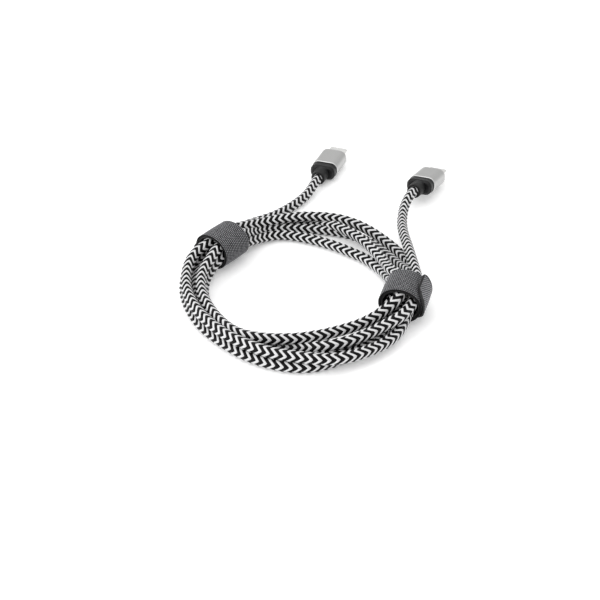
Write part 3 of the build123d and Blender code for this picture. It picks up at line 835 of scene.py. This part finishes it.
def plug_frame(plug):
    """Where a plug's own frame lies: its origin in metres and its turn as Euler angles. Its Y
    runs from the back of the case to the tip."""
    lies = PLUGS[plug]
    turned = (Matrix.Rotation(math.radians(-lies["turn"]), 3, "Z")
              @ Matrix.Rotation(math.radians(-lies["nose_down"]), 3, "X")
              @ Matrix.Rotation(math.radians(-lies["lean"]), 3, "Y"))
    return COIL_CENTRE + np.array(lies["at"]) * MM, turned.to_euler("XYZ")


print("plugs at", {plug: [round(v, 4) for v in plug_frame(plug)[0]] for plug in PLUGS})

# %% The aluminium case
SATIN, CUT_BEVEL = "#b3b3b2", "#dedede"
BEVEL_START, BEVEL_END = 0.14 * MM, 0.22 * MM  # from the back; bevel before, satin after
BEAD, CLOUD = 0.154 * MM, 2.5 * MM  # size of a blasted grain, and of a patch of other roughness


def anodised_case(plug):
    """Bead-blasted aluminium: grains about 0.15 mm across in a fine bump, satin all over, and
    brighter in the first 0.2 mm from the back, where the bevel is cut."""
    def build(tree):
        place = put(tree, "TexCoord").outputs["Object"]
        at, turned = plug_frame(plug)
        own = put(tree, "Mapping", {"Vector": place, "Location": at, "Rotation": turned},
                  vector_type="TEXTURE").outputs[0]
        back = put(tree, "SeparateXYZ", {0: own}).outputs[1]
        satin = put(tree, "MapRange", {0: back, 1: BEVEL_START, 2: BEVEL_END}).outputs[0]
        grain = put(tree, "TexNoise", {"Vector": own, "Scale": 1 / BEAD,
                                       "Detail": 2.0}).outputs[0]
        cloud = put(tree, "TexNoise", {"Vector": own, "Scale": 1 / CLOUD,
                                       "Detail": 3.0}).outputs[0]
        soft = put(tree, "MapRange", {0: cloud, 3: 0.34, 4: 0.42}).outputs[0]
        rough = put(tree, "Mix", {0: satin, 2: 0.3, 3: soft}).outputs[0]
        colour = put(tree, "Mix", {0: satin, 6: linear(CUT_BEVEL), 7: linear(SATIN)},
                     data_type="RGBA").outputs[2]
        height = put(tree, "Math", {0: grain, 1: satin}, operation="MULTIPLY").outputs[0]
        bump = put(tree, "Bump", {"Strength": 0.25, "Distance": 0.01 * MM, "Height": height})
        return {"Base Color": colour, "Roughness": rough, "Normal": bump.outputs[0]}
    return build


plug_finishes = {f"{plug}_housing": new_finish(f"anodised_aluminium_{plug}",
                                               anodised_case(plug), Metallic=1.0)
                 for plug in PLUGS}
print("cases", list(plug_finishes))

# %% [markdown]
# ### The other parts of a plug
#
# The collar and the neck are black plastic, and inside are steel, bronze, resin and more plastic.
# They differ in colour, grain and shine but are built alike, so one function makes the pattern
# and a table holds what is different. Where two pieces are almost the same black, the grain and
# the roughness still tell them apart.

# %% Moulded, plated and printed parts
GRAIN_TO_PATCH = 6  # patches are this many times wider than the grain
METAL, SOFT_SHINE = {"Metallic": 1.0}, {"Specular_IOR_Level": 0.3}


def grained(dark, light, patch, depth, rough_low, rough_high):
    """Two close colours mixed by a cloudy pattern with patches of that size, the same pattern in
    the roughness, and a finer one as a bump of that depth. Both lengths are in millimetres."""
    def build(tree):
        place = put(tree, "TexCoord").outputs["Object"]
        scale = 1 / (patch * MM)
        cloud = put(tree, "TexNoise", {"Vector": place, "Scale": scale, "Detail": 3.0}).outputs[0]
        fine = put(tree, "TexNoise", {"Vector": place, "Scale": scale * GRAIN_TO_PATCH,
                                      "Detail": 2.0}).outputs[0]
        colour = put(tree, "Mix", {0: cloud, 6: linear(dark), 7: linear(light)},
                     data_type="RGBA").outputs[2]
        rough = put(tree, "MapRange", {0: cloud, 1: 0.3, 2: 0.7, 3: rough_low,
                                       4: rough_high}).outputs[0]
        bump = put(tree, "Bump", {"Strength": 0.3, "Distance": depth * MM, "Height": fine})
        return {"Base Color": colour, "Roughness": rough, "Normal": bump.outputs[0]}
    return build


# A row is the end of the nodes' names, the material, its dark and light colours, its patch, its
# grain's depth, its lowest and highest roughness, and the shader's other values.
PARTS = [
    # Out of a polished mould: black, with a soft shine on its edges.
    ("collar", "moulded_black_polycarbonate", "#060607", "#0d0d0e", 1.43, 0.02, 0.34, 0.46,
     SOFT_SHINE),
    # Rubbery, so duller than the collar.
    ("neck", "moulded_black_elastomer", "#070708", "#0f0f10", 1.11, 0.03, 0.45, 0.58, SOFT_SHINE),
    # Drawn through a die: smooth along, half matt.
    ("cable_core", "extruded_pvc_jacket", "#151515", "#242424", 2.0, 0.02, 0.5, 0.65, {}),
    # Bright from the drawing tools.
    ("crimp_ring", "drawn_steel", "#8e8e8e", "#adadad", 2.5, 0.01, 0.3, 0.4, METAL),
    # Thin, glossy and red.
    ("wires", "extruded_wire_insulation", "#8a1f1a", "#a52c24", 1.67, 0.01, 0.35, 0.45, {}),
    # Shot over the wires at low pressure: waxy and off-white.
    ("inner_mould", "moulded_white_nylon", "#c4c2b8", "#d6d4ca", 2.0, 0.02, 0.45, 0.55, {}),
    # A lacquer over copper: deep green and glossy.
    ("circuit_board", "green_solder_resist", "#0c3a1c", "#14522a", 1.11, 0.01, 0.25, 0.35, {}),
    # Filled with glass sand: charcoal and matt.
    ("marker_chip", "epoxy_chip_resin", "#131313", "#222222", 0.667, 0.01, 0.5, 0.6, {}),
    # Plain black, between collar and neck in shine.
    ("nose", "moulded_black_nylon", "#101010", "#1c1c1c", 1.25, 0.02, 0.4, 0.5, {}),
    # Plated after it is drawn: the smoothest and palest metal here.
    ("shell", "nickel_plated_steel", "#dadad8", "#ebebe9", 3.33, 0.004, 0.2, 0.28, METAL),
    # Runs thin in the mould and comes out sharp and slightly shiny.
    ("carrier", "black_liquid_crystal_polymer", "#0d0d0d", "#181818", 0.833, 0.01, 0.35, 0.45,
     {}),
    # Stamped strip under a thin layer of gold.
    ("contacts", "gold_plated_bronze", "#c69a45", "#e0b861", 1.11, 0.003, 0.15, 0.25, METAL),
    # Spring strip as it comes from the rolls.
    ("mid_plate", "rolled_stainless_steel", "#9b9b9a", "#b9b9b8", 2.0, 0.005, 0.25, 0.35, METAL),
]
for ending, material, *look, others in PARTS:
    plug_finishes[ending] = new_finish(material, grained(*look), **others)
plug_finishes["latch"] = plug_finishes["mid_plate"]
print("plug finishes", len(plug_finishes))

# %% Dress the plugs' nodes
dressed = 0
for name, node in NODES.items():
    for ending, finish in plug_finishes.items():
        if name.startswith("plug_") and name.endswith(ending):
            node.data.materials.clear()
            node.data.materials.append(finish)
            dressed += 1
print("plug nodes dressed", dressed)

# %% [markdown]
# ## The floor and the lights
#
# A shooting table: a sheet of white opal acrylic that glows a little by itself, a painted light
# in place of lamps under it, so that shadows are only a hint, under one wide soft light, with a
# small one for the side. The studio round it is a white tent, a little dimmer towards the
# horizon. Hard lamps would put sharp lines on the cases and black pits into the braid, and a
# white tent is what makes satin look satin.

# %% Floor
FLOOR_REACH, FLOOR_DROP = 6.0, 0.0002  # metres: each way from the middle, and below zero
OPAL_DARK, OPAL_LIGHT, OPAL_PATCHES = "#f6f6f6", "#fafafa", 6.0  # patches to a metre
floor_mesh = bpy.data.meshes.new("floor")
floor_mesh.from_pydata([(x * FLOOR_REACH, y * FLOOR_REACH, -FLOOR_DROP)
                        for x, y in ((-1, -1), (1, -1), (1, 1), (-1, 1))], [], [(0, 1, 2, 3)])
floor = bpy.data.objects.new("floor", floor_mesh)
bpy.context.scene.collection.objects.link(floor)


def opal(tree):
    """White, with a very faint cloudiness."""
    place = put(tree, "TexCoord").outputs["Object"]
    cloud = put(tree, "TexNoise", {"Vector": place, "Scale": OPAL_PATCHES,
                                   "Detail": 2.0}).outputs[0]
    ramp = put(tree, "ValToRGB", {0: cloud})
    ramp.color_ramp.elements[0].color = linear(OPAL_DARK)
    ramp.color_ramp.elements[1].color = linear(OPAL_LIGHT)
    return {"Base Color": ramp.outputs[0]}


# Painted light: the floor glows by itself, in place of lamps under it, to lighten the shadows.
floor_mesh.materials.append(new_finish("glowing_opal_acrylic", opal, Roughness=0.9,
                                       Emission_Color=linear("#ffffff"), Emission_Strength=0.2))
print("floor", FLOOR_REACH * 2, "m across")

# %% Lights
PANELS = [("overhead_panel", (-0.3, 0.15, 1.0), 1.9, 6.0),  # place and size in metres, watts
          ("left_panel", (-0.9, -0.5, 0.5), 0.6, 4.0)]


def panel(name, at, size, power):
    """A square soft light that faces the middle of the scene. A lamp shines straight down when
    unturned, so it is tipped by the angle between down and its aim, then turned towards it."""
    data = bpy.data.lights.new(name, "AREA")
    data.shape = "SQUARE"
    data.size = size
    data.energy = power
    lamp = bpy.data.objects.new(name, data)
    lamp.location = at
    east, north, rise = -np.array(at)
    lamp.rotation_euler = (math.atan2(math.hypot(east, north), -rise), 0,
                           math.atan2(north, east) - math.pi / 2)
    bpy.context.scene.collection.objects.link(lamp)


for place in PANELS:
    panel(*place)
print("panels", len(PANELS))

# %% The white tent
HORIZON_GLOW, TOP_GLOW, TOP = 0.8, 1.0, 0.9  # TOP is where the glow is full, 1 being overhead
world = bpy.data.worlds.new("studio")
bpy.context.scene.world = world
world.use_nodes = True
sky = world.node_tree
direction = put(sky, "TexCoord").outputs["Generated"]
height = put(sky, "SeparateXYZ", {0: direction}).outputs[2]
glow = put(sky, "MapRange", {0: height, 1: 0.0, 2: TOP, 3: HORIZON_GLOW,
                             4: TOP_GLOW}).outputs[0]
sky.links.new(glow, sky.nodes["Background"].inputs[1])
sky.nodes["Background"].inputs[0].default_value = linear("#ffffff")
bpy.context.scene.view_settings.view_transform = "Standard"
print("tent glow", HORIZON_GLOW, "to", TOP_GLOW)
